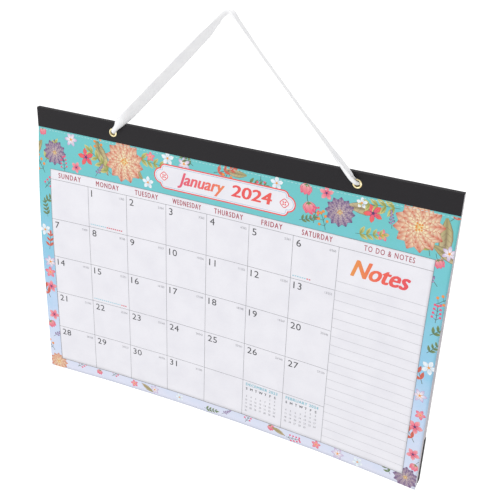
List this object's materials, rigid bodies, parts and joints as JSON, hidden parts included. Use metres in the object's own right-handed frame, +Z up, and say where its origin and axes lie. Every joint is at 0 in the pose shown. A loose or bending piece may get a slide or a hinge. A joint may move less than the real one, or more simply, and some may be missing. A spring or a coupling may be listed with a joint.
{
  "type": "wall calendar",
  "caption": "Tear-off monthly wall calendar: a page pad on a stiff board under a folded top strip, hung by a satin ribbon through brass eyelets.",
  "frame": {"origin": "axis of the nail or hook, at the top of the ribbon's loop", "axes": "+X to the viewer's right along the pad, +Y from the printed front to the wall, +Z up"},
  "size_m": [0.433, 0.02, 0.4271],
  "materials": {
    "board": "matt grey board",
    "page_paper": "uncoated paper",
    "sheet_paper": "uncoated paper",
    "plaque_ink": "coral print",
    "border_ink": "pale blue print",
    "grid_ink": "grey print",
    "strip": "fine-grained matt sheet",
    "eyelet": "polished",
    "corner": "fine-grained satin sheet",
    "ribbon": "white satin"
  },
  "bodies": {
    "root": {"backing_board": "board", "page_block": "page_paper", "front_sheet": "sheet_paper", "plaque_print": "plaque_ink", "border_print": "border_ink", "grid_print": "grid_ink", "binding_strip": "strip", "eyelet_left": "eyelet", "eyelet_right": "eyelet", "corner_left": "corner", "corner_right": "corner", "ribbon": "ribbon", "ribbon_knot_left": "ribbon", "ribbon_knot_right": "ribbon"}
  },
  "joints": []
}
